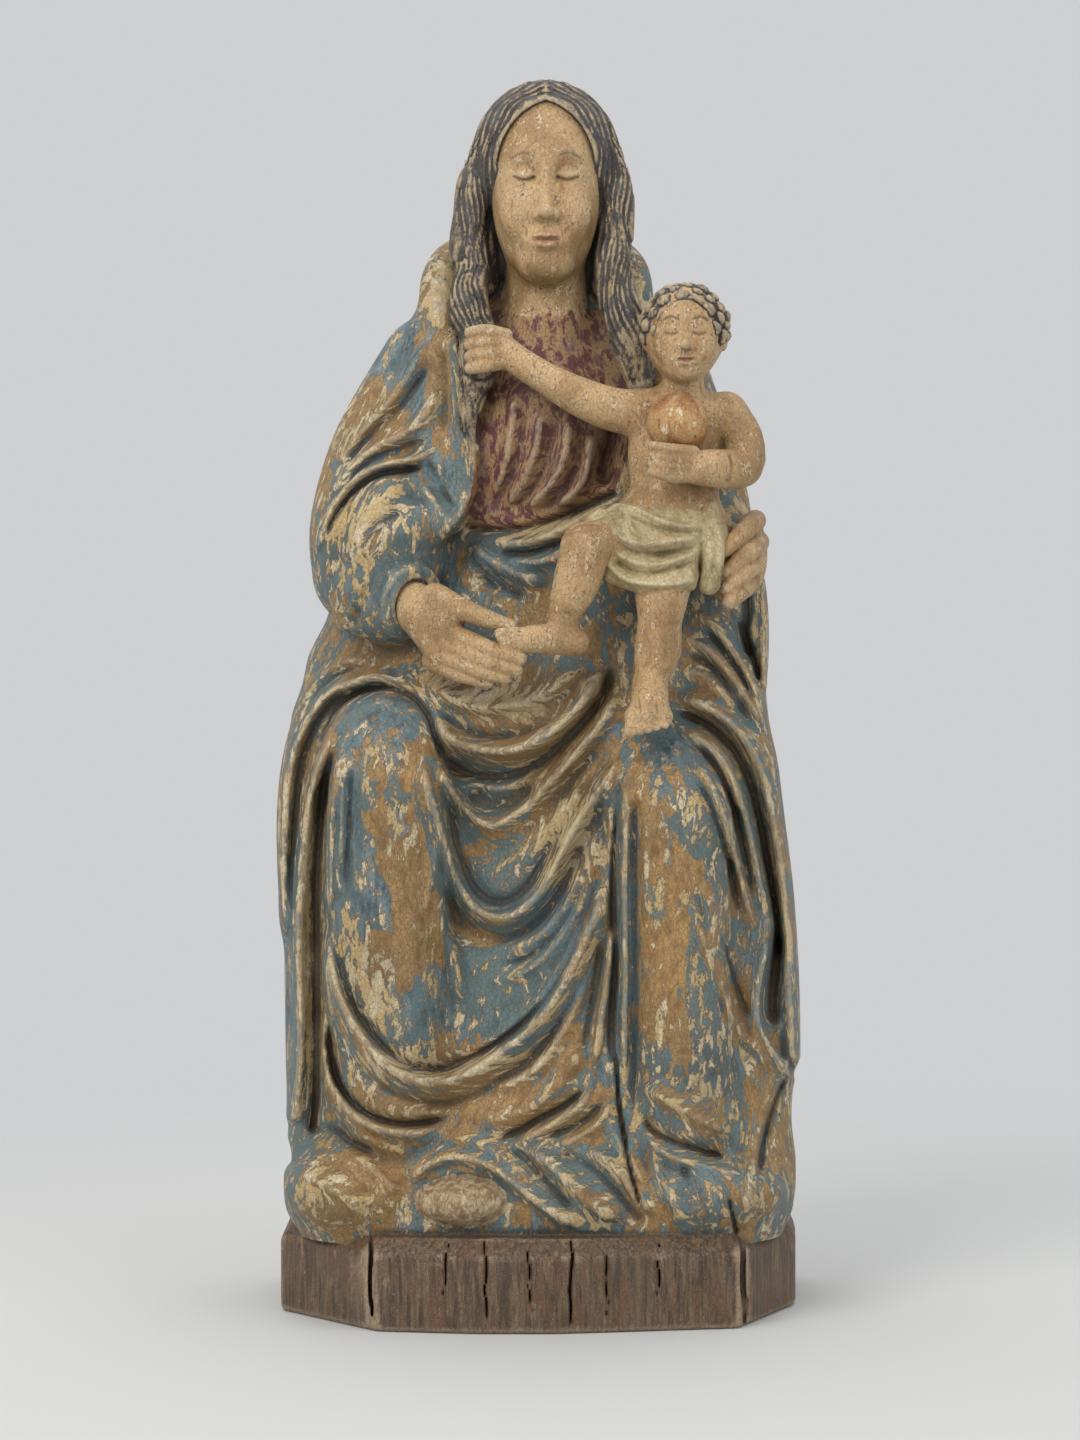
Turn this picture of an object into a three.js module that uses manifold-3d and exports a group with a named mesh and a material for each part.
// Madonna and Child: a seated figure with a small child on her left knee, carved from one log
// together with the low plinth under her feet. Millimetres, +Z up, the figures look along -Y.
// The origin is the middle of the plinth's underside.
//
// The carving is one continuous form, so it is written as a signed distance function: rounded
// masses for the bodies, then a line for each fold of the cloth, laid on those masses. The zero
// level is turned into triangles, thinned out where the surface is flat, and joined to the
// plinth, which is a tapered prism.

import * as THREE from "three";
import Module from "manifold-3d";

// Driving dimensions

const PLINTH = {
  // Corners of the block, seen from above
  outline: [
    [-159, -28], [-98, -93], [-40, -101], [10, -101], [118, -84], [157, -10], [160, 30],
    [160, 82], [150, 92], [-150, 92], [-160, 82],
  ],
  // Height of each level and how far it stands in from the outline
  levels: [[0, 2], [3, 0], [45, 0], [55, 8]],
};

const HEAD = { x: 3, crown: 761, chin: 627, width: 66 };
const CHILD_HEAD = { x: 86, y: -68, crown: 624, chin: 562, width: 42 };

const CELL = 4; // spacing of the sampling lattice
const FACES = 9300; // faces kept on the figure

// The eye that looks at the figure. Points are written [x, y, z] with x and z as they appear
// on an upright plane in front of the middle, and are moved along the line of sight to y.
const EYE = { away: 1900, height: 361 };
const CHEST_PLANE = -40; // used from the waist up
const SKIRT_PLANE = -60; // used below it

function seen([x, y, z, ...rest], plane) {
  const scale = (EYE.away + y) / (EYE.away + plane);
  return [x * scale, y, EYE.height + (z - EYE.height) * scale, ...rest];
}

// Small helpers

const clamp = (v, low, high) => Math.min(Math.max(v, low), high);
const lerp = (a, b, t) => a + (b - a) * t;
const smooth = (t) => t * t * (3 - 2 * t);
const grow = (box, by) => box.map((v, i) => (i < 3 ? v - by : v + by));
const around = ([x, y, z], by) => [x - by, y - by, z - by, x + by, y + by, z + by];
const boxOf = (boxes) =>
  boxes.reduce((a, b) => a.map((v, i) => (i < 3 ? Math.min(v, b[i]) : Math.max(v, b[i]))));
const touching = (a, b) => [0, 1, 2].every((i) => a[i] <= b[i + 3] && b[i] <= a[i + 3]);

// Distance functions. A shape has a box, at(x, y, z), and within(box), which is the same shape
// with whatever is far from that box left out.

function shape(box, at) {
  const made = { box, at, within: () => made };
  return made;
}

// An ellipsoid, turned about x, y and z by degrees.
function ellipsoid(centre, [rx, ry, rz], turn = [0, 0, 0]) {
  const [cx, cy, cz] = centre;
  const euler = new THREE.Euler(...turn.map((a) => THREE.MathUtils.degToRad(a)));
  const m = new THREE.Matrix4().makeRotationFromEuler(euler).invert().elements;
  return shape(around(centre, Math.max(rx, ry, rz)), (x, y, z) => {
    const dx = x - cx;
    const dy = y - cy;
    const dz = z - cz;
    const u = (m[0] * dx + m[4] * dy + m[8] * dz) / rx;
    const v = (m[1] * dx + m[5] * dy + m[9] * dz) / ry;
    const w = (m[2] * dx + m[6] * dy + m[10] * dz) / rz;
    const near = Math.sqrt(u * u + v * v + w * w);
    const slope = Math.sqrt((u / rx) ** 2 + (v / ry) ** 2 + (w / rz) ** 2);
    return slope < 1e-6 ? -Math.min(rx, ry, rz) : (near * (near - 1)) / slope;
  });
}

// A round rod through points [x, y, z, radius], on a smooth curve.
function rod(points, spacing = 7) {
  const curve = new THREE.CatmullRomCurve3(
    points.map(([x, y, z]) => new THREE.Vector3(x, y, z)),
    false,
    "centripetal",
  );
  const spans = points.length - 1;
  const steps = Math.max(spans, Math.round(curve.getLength() / spacing));
  const knots = Array.from({ length: steps + 1 }, (_, i) => {
    const along = Math.min((i / steps) * spans, spans - 1e-9);
    const k = Math.floor(along);
    const p = curve.getPoint(i / steps);
    return [p.x, p.y, p.z, lerp(points[k][3], points[k + 1][3], along - k)];
  });
  return rodOf(knots.slice(1).map((b, i) => [...knots[i], ...b]));
}

function rodOf(links) {
  const boxes = links.map(([ax, ay, az, ar, bx, by, bz, br]) =>
    boxOf([around([ax, ay, az], ar), around([bx, by, bz], br)]),
  );
  const at = (x, y, z) => {
    let best = Infinity;
    for (const [ax, ay, az, ar, bx, by, bz, br] of links) {
      const ex = bx - ax;
      const ey = by - ay;
      const ez = bz - az;
      const long = ex * ex + ey * ey + ez * ez;
      const t = clamp(((x - ax) * ex + (y - ay) * ey + (z - az) * ez) / long, 0, 1);
      const px = x - ax - ex * t;
      const py = y - ay - ey * t;
      const pz = z - az - ez * t;
      const d = Math.sqrt(px * px + py * py + pz * pz) - lerp(ar, br, t);
      if (d < best) best = d;
    }
    return best;
  };
  const within = (box) => {
    const kept = links.filter((_, i) => touching(boxes[i], box));
    if (kept.length === links.length) return made;
    return kept.length ? rodOf(kept) : null;
  };
  const made = { box: boxOf(boxes), at, within };
  return made;
}

// A body of rounded cross-sections. Each section is [z, left, right, front, back, squareness]:
// 2 is an ellipse, and more is squarer.
function stack(sections) {
  const first = sections[0][0];
  const last = sections.at(-1)[0];
  const section = (z) => {
    const h = clamp(z, first, last - 1e-6);
    const i = sections.findIndex((s) => s[0] > h) - 1;
    const [a, b] = [sections[i], sections[i + 1]];
    const before = sections[i - 1] ?? a;
    const after = sections[i + 2] ?? b;
    const t = (h - a[0]) / (b[0] - a[0]);
    const [t2, t3] = [t * t, t * t * t];
    return a.map((v, c) => {
      const slopeA = ((b[c] - before[c]) / (b[0] - before[0])) * (b[0] - a[0]);
      const slopeB = ((after[c] - v) / (after[0] - a[0])) * (b[0] - a[0]);
      const ends = (2 * t3 - 3 * t2 + 1) * v + (3 * t2 - 2 * t3) * b[c];
      return ends + (t3 - 2 * t2 + t) * slopeA + (t3 - t2) * slopeB;
    });
  };
  const rows = Array.from({ length: Math.ceil(last - first) + 2 }, (_, i) => section(first + i));
  const column = (c) => sections.map((s) => s[c]);
  const box = [
    Math.min(...column(1)) - 2, Math.min(...column(3)) - 2, first,
    Math.max(...column(2)) + 2, Math.max(...column(4)) + 2, last,
  ];
  return shape(box, (x, y, z) => {
    const along = clamp(z - first, 0, rows.length - 1.001);
    const i = Math.floor(along);
    const [, left, right, front, back, n] = rows[i].map((v, c) => lerp(v, rows[i + 1][c], along - i));
    const rx = (right - left) / 2;
    const ry = (back - front) / 2;
    const u = Math.abs(x - (left + right) / 2) / rx + 1e-6;
    const v = Math.abs(y - (front + back) / 2) / ry + 1e-6;
    const q = (u ** n + v ** n) ** (1 / n);
    const slope = Math.hypot((u / q) ** (n - 1) / rx, (v / q) ** (n - 1) / ry);
    return Math.max((q - 1) / slope, first - z, z - last);
  });
}

// The lower of two distances, with a fillet of size k where they meet.
function blend(a, b, k) {
  const h = Math.max(k - Math.abs(a - b), 0);
  return Math.min(a, b) - (h * h) / (4 * k);
}

// Steps of a carving: a part added to what is there, or cut from it, with its fillet.
const add = (part, fillet = 2) => ({ part, fillet, away: false });
const cut = (part, fillet = 2) => ({ part, fillet, away: true });

function carving(steps) {
  const at = (x, y, z) => {
    let d = 1e3;
    for (const { part, fillet, away } of steps) {
      const e = part.at(x, y, z);
      d = away ? -blend(-d, e, fillet) : blend(d, e, fillet);
    }
    return d;
  };
  const within = (box) =>
    carving(
      steps.flatMap((s) => {
        const wide = grow(box, s.fillet);
        const part = touching(s.part.box, wide) && s.part.within(wide);
        return part ? [{ ...s, part }] : [];
      }),
    );
  const boxes = steps.filter((s) => !s.away).map((s) => s.part.box);
  return { box: boxes.length ? boxOf(boxes) : around([0, 0, 0], 0), at, within, steps };
}

// Fold lines. A fold follows a curve through a few points, seen from one side, and is laid on
// the surface below: a ridge stands up by its height, a groove sinks in by it. The ends fade
// out, unless keep says that an end stays at full height.

const VIEWS = {
  front: ([x, z], plane) => ({
    start: [0, -EYE.away, EYE.height],
    along: new THREE.Vector3(x, EYE.away + plane, z - EYE.height).normalize().toArray(),
    skip: EYE.away - 150,
  }),
  back: ([x, z]) => ({ start: [x, 200, z], along: [0, -1, 0], skip: 0 }),
  left: ([y, z]) => ({ start: [-260, y, z], along: [1, 0, 0], skip: 0 }),
  right: ([y, z]) => ({ start: [260, y, z], along: [-1, 0, 0], skip: 0 }),
};

// How far along a line of sight it first meets a shape, or passes closest to it.
function meet(solid, { start, along, skip }) {
  let t = skip;
  let closest = { d: Infinity, t };
  while (t < skip + 300) {
    const d = solid.at(...start.map((v, c) => v + along[c] * t));
    if (d < closest.d) closest = { d, t };
    if (d < 0.1) break;
    t += Math.max(d * 0.6, 0.3);
  }
  return closest.t;
}

// A rod along a fold line, its outer side standing out from the ground by the given amount.
function foldRod(ground, fold, plane, rise, radius) {
  const { via, view = "front", fade = 0.25, keep = [0, 0] } = fold;
  const curve = new THREE.CatmullRomCurve3(
    via.map(([a, b]) => new THREE.Vector3(a, b, 0)),
    false,
    "centripetal",
  );
  const last = Math.max(4, Math.round(curve.getLength() / 14));
  const points = curve.getSpacedPoints(last).map(({ x, y }, i) => {
    const ends = [i / last, 1 - i / last];
    const share = ends.reduce((s, u, e) => s * (keep[e] ? 1 : smooth(clamp(u / fade, 0, 1))), 1);
    const size = radius * lerp(0.6, 1, share);
    const sight = VIEWS[view]([x, y], plane);
    const depth = meet(ground, sight) + size - rise * share;
    return [...sight.start.map((v, c) => v + sight.along[c] * depth), size];
  });
  return rod(points);
}

// A ridge is one rod. A groove is a pile of rods, from the surface down to its full depth.
function foldStep(ground, fold, plane) {
  const { groove, radius = 5, height = 7 } = fold;
  if (!groove) return add(foldRod(ground, fold, plane, height, radius), fold.fillet ?? 8);
  const levels = Math.max(1, Math.ceil((height - 0.8 * radius) / radius));
  const pile = Array.from({ length: levels }, (_, i) => {
    const bottom = lerp(height, Math.min(height, 1.2 * radius), levels > 1 ? i / (levels - 1) : 0);
    return add(foldRod(ground, fold, plane, 2 * radius - bottom, radius), 1);
  });
  return cut(carving(pile), fold.fillet ?? 5);
}

const folded = (ground, folds, plane) => folds.map((fold) => foldStep(ground, fold, plane));

// The Madonna's masses

const ROBE = [
  [48, -148, 148, -80, 86, 4],
  [64, -157, 155, -84, 89, 3.6],
  [90, -158, 157, -80, 90, 3.4],
  [115, -156, 155, -72, 90, 3.2],
  [150, -158, 157, -66, 90, 3.2],
  [200, -159, 158, -62, 90, 3.2],
  [250, -160, 155, -60, 90, 3.2],
  [300, -162, 150, -58, 90, 3.1],
  [335, -159, 147, -60, 90, 3],
  [360, -155, 142, -58, 90, 3],
  [382, -149, 140, -50, 90, 2.9],
  [402, -145, 141, -42, 89, 2.8],
  [425, -134, 141, -38, 88, 2.7],
  [445, -130, 139, -36, 87, 2.6],
  [465, -130, 134, -35, 85, 2.5],
  [485, -128, 128, -34, 83, 2.45],
  [504, -124, 121, -34, 80, 2.4],
  [524, -120, 115, -34, 76, 2.3],
  [545, -114, 107, -31, 72, 2.25],
  [565, -106, 98, -27, 67, 2.2],
  [585, -96, 88, -20, 62, 2.15],
  [600, -83, 77, -13, 58, 2.1],
  [614, -70, 66, -4, 53, 2],
  [630, -56, 56, 6, 48, 2],
  [644, -42, 46, 14, 42, 2],
];

const LEGS = [
  [[-78, -10, 346, 38], [-92, -58, 337, 41], [-92, -60, 300, 38], [-91, -58, 230, 35], [-90, -54, 130, 32]],
  [[64, -10, 320, 36], [76, -58, 312, 40], [77, -60, 280, 37], [79, -58, 210, 34], [82, -54, 120, 32]],
];

function masses() {
  const chest = (points) => rod(points.map((p) => seen(p, CHEST_PLANE)));
  return carving([
    add(stack(ROBE)),
    ...LEGS.map((points) => add(rod(points), 12)),
    // Lap, sloping from the knees up to the waist
    add(rod([[-90, -36, 356, 30], [-10, -34, 364, 30], [72, -34, 342, 30]]), 24),
    add(ellipsoid([-6, -18, 402], [106, 38, 44]), 22),
    // Hollow between the knees, and the slack cloth under it
    cut(ellipsoid([-22, -112, 306], [34, 46, 44]), 14),
    cut(ellipsoid([-14, -122, 214], [50, 50, 56]), 18),
    // Hem, spreading over the ground to each side
    add(ellipsoid([-112, -56, 80], [42, 36, 26]), 8),
    add(ellipsoid([96, -56, 78], [50, 36, 24]), 8),
    add(ellipsoid([18, -50, 84], [50, 40, 38]), 10),
    // Chest and belly
    add(ellipsoid([0, -14, 536], [44, 34, 54]), 12),
    add(ellipsoid([-2, -16, 452], [60, 32, 34]), 14),
    // Right arm under the mantle
    add(chest([[-66, 8, 574, 33], [-92, -4, 520, 37], [-102, -16, 474, 39], [-104, -24, 452, 35]]), 14),
    add(chest([[-98, -30, 480, 36], [-92, -40, 462, 33]]), 10),
    add(chest([[-102, -30, 446, 30], [-92, -50, 434, 27]]), 8),
    // Left forearm round the child's back
    add(chest([[80, 4, 560, 26], [100, -8, 500, 25], [110, -40, 466, 20]]), 12),
    // Neck
    add(rod([[HEAD.x, 4, 650, 24], [HEAD.x, 4, 606, 27], [HEAD.x, 6, 590, 34]]), 8),
  ]);
}

const SKIRT_FOLDS = [
  // Over the lap from knee to knee, top to bottom
  { via: [[-148, 320], [-128, 378], [-94, 398], [-58, 379], [-18, 365], [14, 379], [38, 406]], radius: 8, height: 7 },
  { groove: true, via: [[-58, 366], [-20, 354], [10, 364], [34, 392]], radius: 4, height: 4 },
  { via: [[-122, 352], [-94, 383], [-66, 362], [-44, 344], [-18, 339], [6, 349], [46, 396]], radius: 6, height: 13, fade: 0.4, keep: [0, 1] },
  { groove: true, via: [[-58, 336], [-40, 324], [-16, 320], [8, 333], [30, 358]], radius: 6, height: 9 },
  { via: [[-64, 336], [-48, 310], [-28, 300], [-6, 309], [16, 332], [46, 372]], radius: 3.5, height: 7, fillet: 6 },
  { groove: true, via: [[-60, 306], [-44, 284], [-24, 277], [-4, 288], [22, 320]], radius: 5, height: 4 },
  { via: [[-66, 310], [-56, 272], [-38, 251], [-20, 248], [4, 266], [54, 346]], radius: 5, height: 12, keep: [0, 1] },
  { groove: true, via: [[-58, 256], [-42, 238], [-20, 233], [4, 248], [34, 296]], radius: 5, height: 5 },
  { via: [[-130, 268], [-121, 212], [-94, 168], [-58, 154], [-20, 172], [20, 211], [42, 276]], radius: 4, height: 9 },
  { groove: true, via: [[-122, 188], [-97, 156], [-58, 145], [-20, 159], [16, 193]], radius: 3.5, height: 4, fillet: 4 },
  { via: [[-132, 220], [-121, 172], [-92, 146], [-56, 137], [-20, 149], [14, 182], [38, 232]], radius: 7, height: 10 },
  { groove: true, via: [[-130, 164], [-112, 131], [-80, 119], [-44, 120], [-8, 134]], radius: 4, height: 8 },
  { via: [[-136, 176], [-123, 130], [-96, 110], [-60, 107], [-16, 114], [18, 125], [42, 158]], radius: 5, height: 9 },
  // Hanging at her right side
  { via: [[-96, 390], [-126, 374], [-140, 330], [-145, 270], [-147, 200], [-146, 130]], radius: 5, height: 8, fade: 0.12, fillet: 5 },
  { groove: true, via: [[-60, 330], [-65, 356], [-78, 372], [-96, 376], [-113, 366], [-124, 342]], radius: 3.5, height: 7, fillet: 4 },
  { groove: true, via: [[-117, 360], [-127, 334], [-133, 290], [-134, 240], [-134, 180], [-133, 122]], radius: 4.5, height: 15, fade: 0.15, fillet: 3 },
  { via: [[-116, 352], [-125, 310], [-127, 250], [-128, 180]], radius: 3, height: 4, fillet: 4 },
  { groove: true, via: [[-150, 300], [-152, 220], [-151, 130]], radius: 4, height: 5, fade: 0.15 },
  // Hanging at her left side
  { via: [[80, 386], [108, 377], [128, 350], [139, 305], [144, 255], [148, 190]], radius: 5, height: 9, fade: 0.12, fillet: 6 },
  { groove: true, via: [[80, 366], [106, 361], [122, 340], [131, 300], [138, 250], [142, 205]], radius: 4.5, height: 13, fade: 0.12, fillet: 3 },
  { via: [[80, 357], [102, 350], [117, 324], [126, 284], [135, 243]], radius: 4, height: 7, keep: [0, 1], fillet: 6 },
  { groove: true, via: [[84, 346], [104, 318], [114, 280], [121, 244]], radius: 3.5, height: 5 },
  { via: [[86, 340], [104, 310], [112, 266], [119, 222], [129, 188], [146, 160]], radius: 4, height: 8, keep: [0, 1] },
  { via: [[135, 243], [129, 214], [129, 186], [138, 168], [149, 159]], radius: 4, height: 6, keep: [1, 1], fillet: 3 },
  { groove: true, via: [[143, 240], [140, 204], [143, 176]], radius: 8, height: 22, fade: 0.3, fillet: 2 },
  { via: [[149, 157], [141, 136], [132, 112], [137, 88], [147, 72]], radius: 5, height: 8 },
  { groove: true, via: [[126, 150], [120, 120], [124, 92]], radius: 4, height: 5 },
  { via: [[86, 414], [106, 403], [124, 385], [134, 366]], radius: 4, height: 7 },
  { via: [[100, 432], [116, 412], [130, 388]], radius: 4, height: 6 },
  { groove: true, via: [[110, 440], [119, 420], [130, 398], [136, 372]], radius: 4, height: 8, fillet: 3 },
  // Between the hollow and her left shin
  { via: [[54, 346], [48, 280], [45, 210], [43, 140]], radius: 4, height: 8, fade: 0.15, fillet: 5 },
  { groove: true, via: [[60, 326], [55, 250], [52, 180], [54, 90]], radius: 4, height: 11, fade: 0.12, fillet: 3 },
  { groove: true, via: [[44, 300], [39, 232], [36, 170]], radius: 3.5, height: 7, fillet: 3 },
  { via: [[36, 290], [32, 230], [30, 180]], radius: 3.5, height: 5, fillet: 5 },
  // Hem
  { via: [[-152, 90], [-128, 104], [-96, 101], [-78, 84]], radius: 6, height: 4 },
  { groove: true, via: [[-128, 96], [-110, 84], [-92, 70]], radius: 5, height: 3 },
  { via: [[-84, 70], [-70, 89], [-48, 98], [-26, 91], [-10, 74], [8, 60]], radius: 4, height: 8, fillet: 5 },
  { via: [[-28, 116], [-6, 90], [10, 64]], radius: 7, height: 5, fillet: 12, keep: [0, 1] },
  { groove: true, via: [[-10, 108], [8, 88], [22, 60]], radius: 4.5, height: 3.5, fillet: 6, keep: [0, 1] },
  { via: [[2, 111], [24, 90], [38, 62]], radius: 7, height: 3, fillet: 12, keep: [0, 1] },
  { groove: true, via: [[14, 110], [38, 86], [48, 60]], radius: 4.5, height: 3.5, fillet: 6, keep: [0, 1] },
  { groove: true, via: [[-24, 103], [-2, 105], [16, 112], [30, 124]], radius: 3.5, height: 5, fillet: 3 },
  { groove: true, via: [[62, 136], [84, 115], [120, 97]], radius: 4.5, height: 8 },
  { via: [[60, 120], [90, 103], [126, 88]], radius: 5, height: 7 },
  { groove: true, via: [[70, 92], [84, 74], [90, 58]], radius: 5, height: 4, keep: [0, 1] },
  // Gap between the hem and the plinth
  { groove: true, via: [[-156, 64], [-120, 57], [-92, 57], [-78, 64]], radius: 3, height: 5, fillet: 2 },
  { groove: true, via: [[-16, 64], [8, 56], [60, 52], [130, 53], [156, 60]], radius: 3, height: 5, fillet: 2 },
];

const CHEST_FOLDS = [
  { via: [[-72, 542], [-98, 531], [-119, 509], [-133, 482], [-139, 456]], radius: 4, height: 6 },
  { groove: true, via: [[-70, 519], [-98, 514], [-115, 502], [-128, 480], [-134, 454]], radius: 4.5, height: 9, fade: 0.2, fillet: 3 },
  { via: [[-74, 506], [-96, 502], [-110, 492], [-120, 474]], radius: 5, height: 4 },
  { via: [[-66, 590], [-82, 558], [-100, 541], [-118, 526]], radius: 5, height: 6 },
  { groove: true, via: [[-64, 566], [-82, 546], [-102, 534]], radius: 4, height: 5 },
  { groove: true, via: [[-70, 530], [-62, 506], [-50, 486]], radius: 4, height: 6 },
  // Gown over the breast
  { via: [[-34, 486], [-2, 494], [20, 516], [30, 548]], radius: 4, height: 7 },
  { via: [[-36, 504], [-14, 520], [2, 548]], radius: 4, height: 5 },
  { groove: true, via: [[-8, 484], [24, 500], [44, 532]], radius: 6, height: 9 },
  // Lap cloth under the waist
  { via: [[-44, 466], [-20, 460], [6, 442]], radius: 5, height: 7 },
  { groove: true, via: [[-40, 452], [-18, 446], [0, 432]], radius: 4, height: 4 },
];

const BACK_FOLDS = [-96, -48, 2, 54, 104].map((x, i) => ({
  view: "back",
  via: [[x * 0.5, 540 - 14 * (i % 2)], [x * 0.9, 400], [x, 240], [x * 1.06, 70]],
  radius: 12,
  height: 5,
  fade: 0.3,
  keep: [0, 1],
}));

const SIDE_FOLDS = ["left", "right"].flatMap((view) =>
  [-18, 22, 58].map((y, i) => ({
    view,
    via: [[y * 0.7 + 12, 420 - 30 * i], [y, 260], [y - 4, 76]],
    radius: 9,
    height: 3,
    keep: [0, 1],
  })),
);

// The mantle ends a little above the ground at both sides.
function mantleEnds() {
  return [
    cut(rod([[-163, -110, 94, 11], [-163, 110, 96, 11]]), 3),
    cut(rod([[165, -110, 66, 9], [165, 110, 64, 9]]), 3),
  ];
}

// Rolled borders of the mantle and the sleeve
function mantle() {
  const chest = (points) => rod(points.map((p) => seen(p, CHEST_PLANE)));
  return [
    // Border from behind the neck down to the right elbow
    add(chest([[HEAD.x, 56, 650, 12], [-32, 44, 650, 12], [-56, 14, 636, 13], [-60, -4, 614, 14],
      [-60, -16, 592, 15]]), 5),
    add(chest([[-62, -10, 596, 16], [-62, -16, 560, 18], [-60, -21, 528, 19], [-61, -31, 504, 17],
      [-70, -44, 490, 12]]), 4),
    // Border on the other side, running in behind the child
    add(chest([[HEAD.x, 56, 650, 12], [36, 42, 648, 12], [50, 16, 634, 13], [54, 2, 612, 13],
      [56, -8, 586, 13]]), 5),
    // Mantle's edge over the forearm, and the dark gap under it
    add(chest([[-46, -50, 483, 6], [-62, -60, 482, 8], [-82, -66, 479, 8], [-101, -67, 467, 8],
      [-114, -64, 446, 8], [-121, -54, 422, 8]]), 14),
    add(chest([[-96, -44, 440, 27], [-84, -58, 432, 23]]), 4),
    cut(chest([[-46, -62, 468, 6], [-64, -72, 468, 7], [-84, -78, 464, 6.5], [-99, -80, 449, 6],
      [-110, -76, 430, 5.5], [-114, -68, 410, 5]]), 3),
    // Cuff
    add(chest([[-57, -62, 455, 4], [-68, -74, 456, 5], [-81, -81, 446, 5.5], [-91, -82, 429, 5.5],
      [-98, -76, 412, 5.5], [-100, -62, 405, 5]]), 8),
    // Cloth gathered at the waist
    add(chest([[-38, -40, 480, 4], [-10, -46, 475, 6], [16, -47, 479, 7], [38, -43, 491, 6], [52, -40, 501, 5]]), 6),
    add(chest([[-8, -46, 464, 3], [12, -50, 461, 5], [34, -48, 470, 4]]), 6),
  ];
}

function madonnaHead() {
  const { x, crown, chin, width } = HEAD;
  const tall = crown - 21 - chin; // hairline to chin
  const eyeZ = chin + tall * 0.575;
  const eyeX = width / 5;
  const half = width / 2;
  const hairLine = ellipsoid([x, -56, chin + tall * 0.49], [half + 1, 46, tall * 0.56]);
  const lock = (points) => add(rod(points.map((p) => seen(p, CHEST_PLANE))), 5);
  return [
    add(ellipsoid([x, 6, 706], [39, 46, 52]), 6),
    add(ellipsoid([x, -10, chin + tall * 0.5], [half, 35, tall * 0.5]), 8),
    add(ellipsoid([x, -28, chin + 13], [17, 16, 13]), 8),
    // Cap of hair, open round the face, and the hair that falls behind the neck
    add(carving([add(ellipsoid([x, 7, 706], [47, 50, 55])), cut(hairLine, 3)]), 2),
    add(rod([[x, 20, 690, 38], [x, 26, 656, 36], [x, 30, 624, 34]]), 6),
    lock([[-33, 2, 712, 10], [-38, -8, 694, 11], [-41, -12, 672, 11], [-40, -14, 650, 10],
      [-41, -20, 624, 11], [-38, -32, 604, 12], [-34, -42, 588, 12]]),
    lock([[-26, -14, 690, 7], [-30, -8, 660, 8], [-32, -4, 630, 9]]),
    lock([[-34, -44, 586, 12], [-41, -46, 564, 8], [-46, -46, 546, 6], [-42, -44, 526, 4]]),
    lock([[36, 2, 712, 10], [41, -8, 694, 11], [42, -12, 672, 11], [40, -14, 650, 10],
      [41, -22, 622, 11], [46, -28, 600, 13], [50, -32, 582, 13], [57, -34, 564, 9]]),
    lock([[32, -14, 690, 7], [35, -8, 660, 8], [36, -4, 630, 9]]),
    // Brow, eyes, nose and mouth on the usual proportions
    ...[-1, 1].map((side) => cut(ellipsoid([x + side * eyeX, -46, eyeZ - 1], [9, 7, 6]), 5)),
    ...[-1, 1].map((side) => add(ellipsoid([x + side * eyeX, -36, eyeZ - 1], [7.5, 6, 5]), 1.5)),
    add(rod([[x, -38, chin + tall * 0.62, 4], [x, -44, chin + tall * 0.44, 5.5], [x, -46, chin + tall * 0.36, 6.5]]), 4),
    add(ellipsoid([x, -38, chin + tall * 0.23], [10, 7, 3]), 2),
    add(ellipsoid([x, -37, chin + tall * 0.17], [8, 6, 3]), 2),
  ];
}

function madonnaHands() {
  const chest = (points) => rod(points.map((p) => seen(p, CHEST_PLANE)), 5);
  const rightFingers = [
    [[-50, -86, 414, 6.5], [-32, -94, 406, 5.5], [-13, -94, 400, 4.5]],
    [[-54, -86, 407, 6.5], [-34, -94, 398, 5.5], [-15, -94, 392, 4.5]],
    [[-58, -84, 401, 6], [-40, -92, 392, 5.5], [-22, -92, 387, 4.5]],
    [[-62, -80, 397, 6], [-48, -88, 389, 5], [-34, -88, 385, 4.5]],
    [[-60, -82, 436, 7], [-42, -90, 429, 6], [-18, -90, 417, 4.5]],
  ];
  const leftFingers = [472, 462, 452, 443].map((z) => [
    [130, -52, z - 3, 6],
    [123, -74, z, 5.5],
    [112, -76, z - 4, 4.5],
  ]);
  return [
    add(chest([[-80, -66, 430, 14], [-68, -76, 426, 15], [-58, -80, 416, 15]]), 4),
    ...rightFingers.map((f) => add(chest(f), 2)),
    add(ellipsoid([124, -44, 454], [14, 22, 28]), 6),
    ...leftFingers.map((f) => add(chest(f), 1.5)),
  ];
}

function shoe() {
  return [
    cut(ellipsoid([-47, -104, 78], [30, 34, 19]), 3),
    add(ellipsoid([-47, -76, 75], [27, 22, 14]), 2),
  ];
}

// The child, who sits across her left knee with an orb and pulls at a lock of her hair

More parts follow.
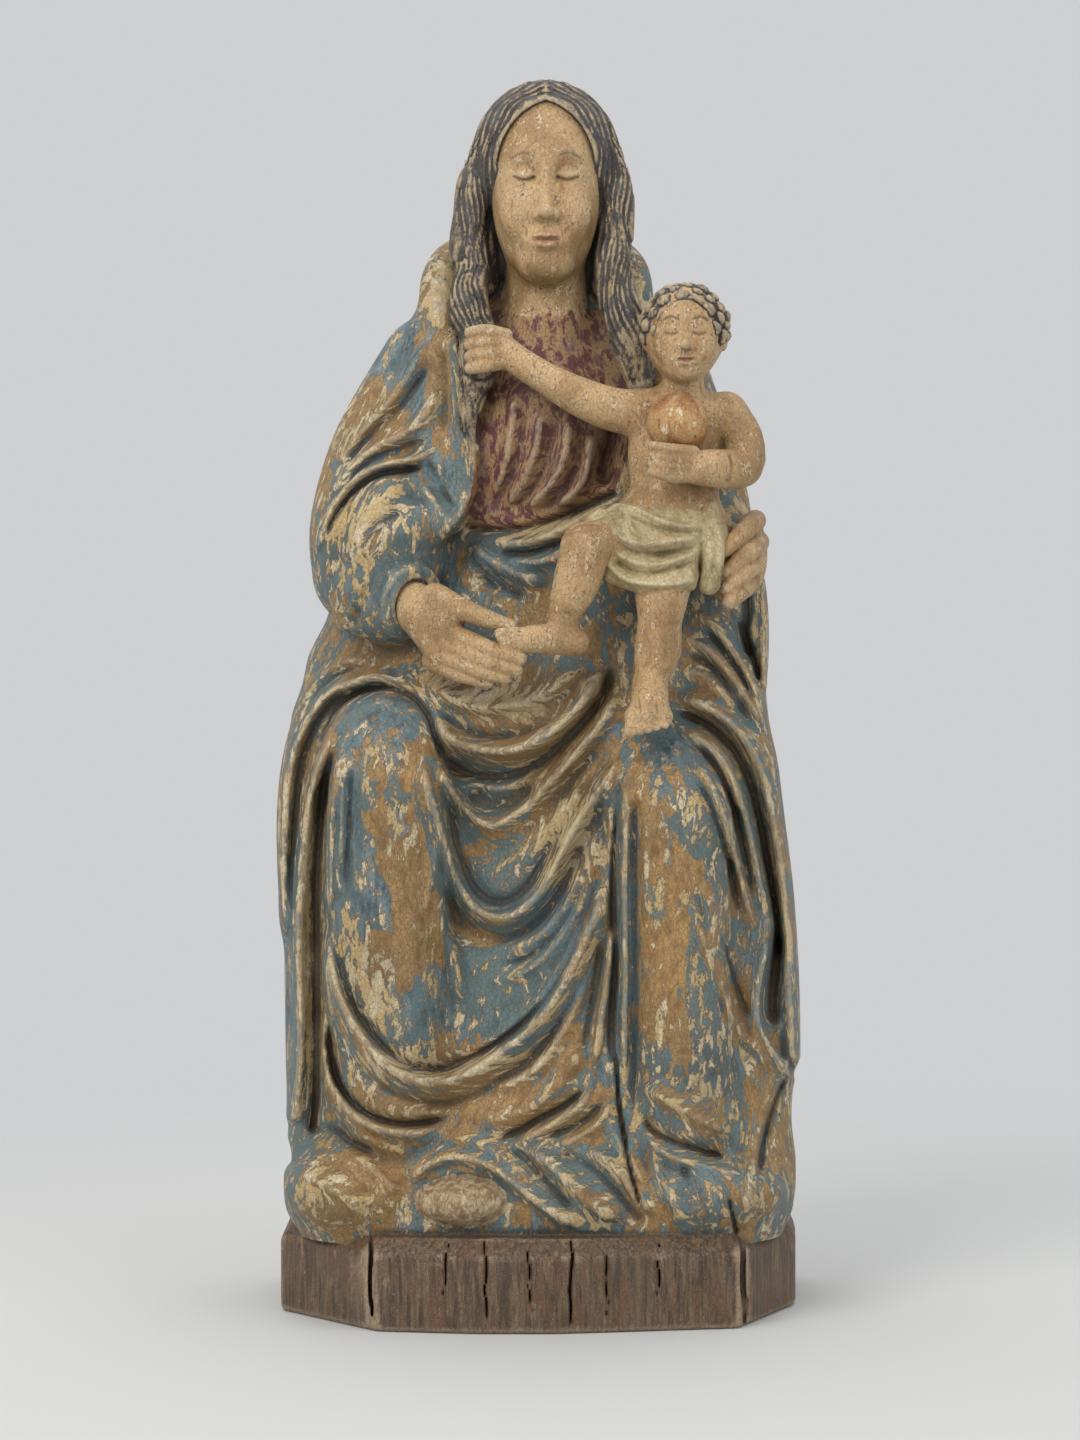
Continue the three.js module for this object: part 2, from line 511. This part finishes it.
function childHead() {
  const { x, y, crown, chin, width } = CHILD_HEAD;
  const tall = crown - 7 - chin;
  const curl = (i) => {
    const up = 1 - (i + 0.5) / 26;
    const turn = i * 2.399963;
    const flat = Math.sqrt(1 - up * up);
    const at = [x + 24 * flat * Math.cos(turn), y + 6 + 24 * flat * Math.sin(turn), crown - 32 + 25 * up];
    return ellipsoid(at, [7.5, 7.5, 7]);
  };
  const curls = Array.from({ length: 26 }, (_, i) => curl(i));
  const open = ellipsoid([x - 1, y - 38, chin + tall * 0.44], [width / 2 + 2, 30, tall * 0.62]);
  return carving([
    add(ellipsoid([x, y, chin + tall * 0.52], [width / 2 + 1, 26, tall * 0.52])),
    add(ellipsoid([x, y + 6, crown - 30], [26, 27, 27]), 2),
    add(carving([...curls.map((c) => add(c, 1)), cut(open, 1)]), 1.5),
    ...[-1, 1].map((side) => cut(ellipsoid([x - 1 + side * 8.5, y - 28, chin + tall * 0.55], [6, 5, 4]), 3)),
    ...[-1, 1].map((side) => add(ellipsoid([x - 1 + side * 8.5, y - 21.5, chin + tall * 0.55], [4.5, 4, 3]), 1)),
    add(rod([[x - 1, y - 25, chin + tall * 0.54, 2.5], [x - 1, y - 29, chin + tall * 0.38, 3.5]]), 2),
    add(ellipsoid([x - 1, y - 24, chin + tall * 0.22], [6.5, 4, 3]), 1.5),
    add(ellipsoid([x - 1, y - 18, chin + 7], [11, 9, 8]), 5),
  ]);
}

function child() {
  const chest = (points) => rod(points.map((p) => seen(p, CHEST_PLANE)), 5);
  const ball = (at, size, turn) => ellipsoid(seen(at, CHEST_PLANE), size, turn);
  return carving([
    add(ball([82, -58, 522], [30, 22, 44])),
    add(ball([78, -62, 478], [36, 24, 30]), 8),
    add(chest([[62, -60, 548, 13], [112, -60, 546, 13]]), 8),
    add(chest([[86, -62, 556, 14], [86, -66, 572, 13]]), 4),
    add(childHead(), 2),
    // Arms
    add(chest([[60, -60, 546, 15], [42, -64, 549, 13.5], [20, -66, 560, 12], [0, -64, 571, 9.5],
      [-16, -58, 581, 9.5], [-26, -54, 589, 10]]), 4),
    add(chest([[112, -58, 546, 13], [122, -62, 532, 12.5], [122, -70, 514, 12], [100, -86, 513, 10.5],
      [80, -94, 518, 9]]), 3),
    ...[0, 1, 2, 3].map((i) =>
      add(chest([[-32, -58, 602 - 9 * i, 5], [-42, -62, 603 - 9.5 * i, 4.5], [-47, -56, 602 - 9.5 * i, 4]]), 1.5),
    ),
    add(ball([83, -82, 540], [18.5, 18.5, 18.5]), 1.5),
    // Legs
    add(chest([[56, -64, 472, 19], [36, -84, 469, 16], [26, -92, 466, 14.5]]), 5),
    add(chest([[26, -92, 464, 14.5], [20, -90, 444, 14], [12, -86, 418, 9.5]]), 3),
    add(chest([[17, -84, 409, 9.5], [0, -90, 412, 8.5], [-14, -94, 411, 8]]), 3),
    add(chest([[-14, -94, 410, 7.5], [-23, -96, 411, 5.5]]), 2),
    add(chest([[74, -68, 458, 19], [73, -84, 430, 14], [72, -84, 408, 14], [67, -84, 388, 10]]), 4),
    add(chest([[66, -84, 380, 11], [65, -92, 368, 11.5]]), 3),
    add(chest([[58, -96, 359, 7], [72, -96, 358, 7]]), 3),
    // Loincloth, drawn across the thighs and knotted at the side
    add(ball([76, -64, 470], [39, 29, 27]), 3),
    add(chest([[34, -82, 476, 15], [56, -76, 466, 20]]), 4),
    ...[[488, 480, 0], [474, 462, 1], [460, 446, 2]].map(([side, middle, i]) =>
      add(chest([[46 - 8 * i, -84, side, 4], [70, -92, middle, 4.5], [98, -84, side, 4]]), 2),
    ),
    add(chest([[103, -72, 492, 5], [106, -80, 466, 7], [103, -78, 438, 6]]), 2),
  ]);
}

function figure() {
  const ground = masses();
  return carving([
    ...ground.steps,
    ...folded(ground, SKIRT_FOLDS, SKIRT_PLANE),
    ...folded(ground, CHEST_FOLDS, CHEST_PLANE),
    ...folded(ground, BACK_FOLDS),
    ...folded(ground, SIDE_FOLDS),
    ...mantleEnds(),
    ...shoe(),
    ...mantle(),
    ...madonnaHead(),
    ...madonnaHands(),
    add(child(), 1.5),
  ]);
}

// Turning the distance function into triangles

// Values on a lattice over the shape's box, worked out block by block with what is near.
function sample(solid, cell) {
  const box = grow(solid.box, 2 * cell);
  const size = [0, 1, 2].map((i) => Math.ceil((box[i + 3] - box[i]) / cell) + 1);
  const [nx, ny, nz] = size;
  const values = new Float32Array(nx * ny * nz);
  const block = 8;
  const reach = Math.sqrt(3) * block * cell;
  for (let k0 = 0; k0 < nz; k0 += block)
    for (let j0 = 0; j0 < ny; j0 += block)
      for (let i0 = 0; i0 < nx; i0 += block) {
        const low = [i0, j0, k0].map((n, c) => box[c] + n * cell);
        const high = low.map((v) => v + block * cell);
        const near = solid.within([...low, ...high]);
        const middle = near.at(...low.map((v, c) => (v + high[c]) / 2));
        const far = Math.abs(middle) > 1.1 * reach;
        for (let k = k0; k < Math.min(k0 + block, nz); k++)
          for (let j = j0; j < Math.min(j0 + block, ny); j++)
            for (let i = i0; i < Math.min(i0 + block, nx); i++)
              values[(k * ny + j) * nx + i] = far
                ? middle
                : near.at(box[0] + i * cell, box[1] + j * cell, box[2] + k * cell);
      }
  return { box, size, cell, values };
}

// Each cube of the lattice is six tetrahedra round its diagonal, one for each order of the axes.
const ORDERS = [[0, 1, 1], [1, 2, 1], [2, 0, 1], [0, 2, -1], [2, 1, -1], [1, 0, -1]];
// Even orders of a tetrahedron's corners that put one corner, or one pair of them, first
const FIRST = [[0, 1, 2, 3], [1, 0, 3, 2], [2, 0, 1, 3], [3, 0, 2, 1]];
const PAIRS = [[0, 1, 2, 3], [0, 2, 3, 1], [0, 3, 1, 2], [1, 2, 0, 3], [1, 3, 2, 0], [2, 3, 0, 1]];

function triangulate({ box, size, cell, values }) {
  const [nx, ny, nz] = size;
  const stride = [1, nx, nx * ny];
  const diagonal = stride[0] + stride[1] + stride[2];
  const points = [];
  const faces = [];
  const seenEdges = new Map();
  const place = (n) => [
    box[0] + (n % nx) * cell,
    box[1] + (Math.floor(n / nx) % ny) * cell,
    box[2] + Math.floor(n / (nx * ny)) * cell,
  ];
  const crossing = (a, b) => {
    const key = a < b ? a * values.length + b : b * values.length + a;
    if (!seenEdges.has(key)) {
      const t = clamp(values[a] / (values[a] - values[b]), 0.04, 0.96);
      const [p, q] = [place(a), place(b)];
      seenEdges.set(key, points.length);
      points.push(p.map((v, c) => lerp(v, q[c], t)));
    }
    return seenEdges.get(key);
  };
  const face = (a, b, c, outward) => faces.push(outward ? [a, b, c] : [a, c, b]);
  for (let k = 0; k < nz - 1; k++)
    for (let j = 0; j < ny - 1; j++)
      for (let i = 0; i < nx - 1; i++) {
        const n = (k * ny + j) * nx + i;
        let inside = 0;
        for (let c = 0; c < 8; c++) {
          const corner = n + (c & 1) + ((c >> 1) & 1) * stride[1] + (c >> 2) * stride[2];
          if (values[corner] < 0) inside++;
        }
        if (inside === 0 || inside === 8) continue;
        for (const [a, b, sign] of ORDERS) {
          const corners = [n, n + stride[a], n + stride[a] + stride[b], n + diagonal];
          const isIn = corners.map((c) => values[c] < 0);
          const count = isIn.filter(Boolean).length;
          const cross = (p, q) => crossing(corners[p], corners[q]);
          if (count === 1 || count === 3) {
            const [p, q, r, s] = FIRST[isIn.indexOf(count === 1)];
            face(cross(p, q), cross(p, r), cross(p, s), (count === 1) === sign > 0);
          } else if (count === 2) {
            const [p, q, r, s] = PAIRS.find(([u, v]) => isIn[u] && isIn[v]);
            const ring = [cross(p, r), cross(p, s), cross(q, s), cross(q, r)];
            face(ring[0], ring[1], ring[2], sign > 0);
            face(ring[0], ring[2], ring[3], sign > 0);
          }
        }
      }
  return { points, faces };
}

// The largest connected piece of a mesh.
function largestPiece({ points, faces }) {
  const parent = points.map((_, i) => i);
  const root = (i) => {
    while (parent[i] !== i) {
      parent[i] = parent[parent[i]];
      i = parent[i];
    }
    return i;
  };
  for (const [a, b, c] of faces) {
    parent[root(a)] = root(b);
    parent[root(b)] = root(c);
  }
  const counts = new Map();
  for (const [a] of faces) counts.set(root(a), (counts.get(root(a)) ?? 0) + 1);
  const [main] = [...counts].sort((a, b) => b[1] - a[1])[0];
  return { points, faces: faces.filter(([a]) => root(a) === main) };
}

// Thinning: the edge whose loss changes the surface least is closed up, again and again. The
// change is measured by the squared distances to the planes of the faces that were there.

const cross = (a, b) => [
  a[1] * b[2] - a[2] * b[1],
  a[2] * b[0] - a[0] * b[2],
  a[0] * b[1] - a[1] * b[0],
];
const minus = (a, b) => [a[0] - b[0], a[1] - b[1], a[2] - b[2]];
const dot = (a, b) => a[0] * b[0] + a[1] * b[1] + a[2] * b[2];

function planeError(p, q, r, weight) {
  const n = cross(minus(q, p), minus(r, p));
  const area = Math.sqrt(dot(n, n)) || 1e-12;
  const [a, b, c] = n.map((v) => v / area);
  const d = -(a * p[0] + b * p[1] + c * p[2]);
  const w = area * weight;
  return [a * a, a * b, a * c, a * d, b * b, b * c, b * d, c * c, c * d, d * d].map((v) => v * w);
}

function errorAt(e, [x, y, z]) {
  return (
    e[0] * x * x + 2 * e[1] * x * y + 2 * e[2] * x * z + 2 * e[3] * x +
    e[4] * y * y + 2 * e[5] * y * z + 2 * e[6] * y + e[7] * z * z + 2 * e[8] * z + e[9]
  );
}

// The point of least error, or null where the planes do not fix one.
function bestPoint(e) {
  const [a, b, c, d, f, g, h, i, j] = e;
  const det = a * (f * i - g * g) - b * (b * i - g * c) + c * (b * g - f * c);
  const scale = (a + f + i) / 3;
  if (Math.abs(det) < 1e-3 * scale ** 3) return null;
  return [
    -(d * (f * i - g * g) - b * (h * i - g * j) + c * (h * g - f * j)) / det,
    -(a * (h * i - j * g) - d * (b * i - g * c) + c * (b * j - h * c)) / det,
    -(a * (f * j - g * h) - b * (b * j - h * c) + d * (b * g - f * c)) / det,
  ];
}

// A queue that gives the entry with the lowest cost first.
function costQueue() {
  const heap = [];
  const push = (entry) => {
    let i = heap.push(entry) - 1;
    while (i > 0) {
      const up = (i - 1) >> 1;
      if (heap[up].cost <= heap[i].cost) break;
      [heap[up], heap[i]] = [heap[i], heap[up]];
      i = up;
    }
  };
  const pop = () => {
    const top = heap[0];
    const last = heap.pop();
    if (heap.length) {
      heap[0] = last;
      for (let i = 0; ; ) {
        const left = 2 * i + 1;
        const small = left + 1 < heap.length && heap[left + 1].cost < heap[left].cost ? left + 1 : left;
        if (small >= heap.length || heap[i].cost <= heap[small].cost) break;
        [heap[i], heap[small]] = [heap[small], heap[i]];
        i = small;
      }
    }
    return top;
  };
  return { push, pop, size: () => heap.length };
}

function thinOut({ points, faces }, target, weightAt) {
  const errors = points.map(() => new Array(10).fill(0));
  const facesAt = points.map(() => new Set());
  faces.forEach((f, i) => {
    const [p, q, r] = f.map((v) => points[v]);
    const e = planeError(p, q, r, weightAt(p));
    for (const v of f) {
      facesAt[v].add(i);
      e.forEach((value, k) => (errors[v][k] += value));
    }
  });
  const stamp = new Int32Array(points.length);
  const queue = costQueue();
  const offer = (a, b) => {
    const e = errors[a].map((v, k) => v + errors[b][k]);
    const [p, q] = [points[a], points[b]];
    const middle = p.map((v, c) => (v + q[c]) / 2);
    const best = bestPoint(e);
    const long = Math.hypot(...minus(p, q));
    const usable = best && Math.hypot(...minus(best, middle)) < 1.5 * long;
    const at = usable ? best : [p, q, middle].sort((u, v) => errorAt(e, u) - errorAt(e, v))[0];
    const cost = Math.max(errorAt(e, at), 0) + 1e-4 * long * long;
    queue.push({ a, b, at, e, cost, age: stamp[a] + stamp[b] });
  };
  const neighbours = (v) => new Set([...facesAt[v]].flatMap((f) => faces[f]).filter((u) => u !== v));
  const turns = (v, other, at) =>
    [...facesAt[v]].some((f) => {
      if (faces[f].includes(other)) return false;
      const was = faces[f].map((u) => points[u]);
      const now = faces[f].map((u) => (u === v ? at : points[u]));
      const n0 = cross(minus(was[1], was[0]), minus(was[2], was[0]));
      const n1 = cross(minus(now[1], now[0]), minus(now[2], now[0]));
      return dot(n0, n1) < 0.3 * Math.sqrt(dot(n0, n0) * dot(n1, n1)) + 1e-9;
    });
  for (const [a, b, c] of faces)
    for (const [u, v] of [[a, b], [b, c], [c, a]]) if (u < v) offer(u, v);
  let left = faces.length;
  while (left > target && queue.size()) {
    const { a, b, at, e, age } = queue.pop();
    if (!facesAt[a] || !facesAt[b] || age !== stamp[a] + stamp[b]) continue;
    const nextToB = neighbours(b);
    const shared = [...neighbours(a)].filter((v) => nextToB.has(v));
    if (shared.length !== 2 || turns(a, b, at) || turns(b, a, at)) continue;
    points[a] = at;
    errors[a] = e;
    for (const f of facesAt[b]) {
      if (faces[f].includes(a)) {
        for (const v of faces[f]) if (v !== b) facesAt[v].delete(f);
        faces[f] = null;
        left--;
      } else {
        faces[f] = faces[f].map((v) => (v === b ? a : v));
        facesAt[a].add(f);
      }
    }
    facesAt[b] = null;
    stamp[a] += 1 + stamp[b];
    for (const v of neighbours(a)) offer(a, v);
  }
  return { points, faces: faces.filter(Boolean) };
}

// Packing a mesh with only the points that it uses.
function packed({ points, faces }) {
  const index = new Map();
  const kept = [];
  const list = faces.flat().map((v) => {
    if (!index.has(v)) {
      index.set(v, kept.length);
      kept.push(points[v]);
    }
    return index.get(v);
  });
  return { points: new Float32Array(kept.flat()), faces: new Uint32Array(list) };
}

// The plinth, as a prism with chamfered edges.
function plinth({ outline, levels }) {
  const count = outline.length;
  const points = levels.flatMap(([z, inset]) =>
    outline.map(([x, y]) => [x * (1 - inset / 160), y * (1 - inset / 96), z]),
  );
  const faces = [];
  for (let level = 0; level + 1 < levels.length; level++)
    for (let i = 0; i < count; i++) {
      const a = level * count + i;
      const b = level * count + ((i + 1) % count);
      faces.push([a, b, b + count], [a, b + count, a + count]);
    }
  const top = (levels.length - 1) * count;
  for (let i = 1; i + 1 < count; i++) {
    faces.push([0, i + 1, i]);
    faces.push([top, top + i, top + i + 1]);
  }
  return { points, faces };
}

// Heads, hands and the child keep smaller faces than the cloth.
function fineness([x, y, z]) {
  const isHead = z > 625;
  const isChild = x > -50 && y < -50 && z > 385;
  return isHead || isChild ? 5 : 1;
}

const { Manifold, Mesh } = await (async () => {
  const wasm = await Module();
  wasm.setup();
  return wasm;
})();

const solidOf = (mesh) => {
  const { points, faces } = packed(mesh);
  return new Manifold(new Mesh({ numProp: 3, vertProperties: points, triVerts: faces }));
};

function statue() {
  const rough = largestPiece(triangulate(sample(figure(), CELL)));
  const carved = thinOut(rough, FACES, fineness);
  const whole = solidOf(carved).add(solidOf(plinth(PLINTH))).getMesh();
  const geometry = new THREE.BufferGeometry();
  const points = new Float32Array(whole.vertProperties);
  geometry.setAttribute("position", new THREE.BufferAttribute(points, whole.numProp));
  geometry.setIndex(new THREE.BufferAttribute(new Uint32Array(whole.triVerts), 1));
  geometry.computeVertexNormals();
  return geometry;
}

const wood = new THREE.MeshStandardMaterial({ color: 0x9a8465, roughness: 0.75, metalness: 0 });
wood.name = "polychrome_wood";

const carving_mesh = new THREE.Mesh(statue(), wood);
carving_mesh.name = "madonna_and_child";

const group = new THREE.Group();
group.name = "madonna_and_child_statue";
group.add(carving_mesh);

export default group;
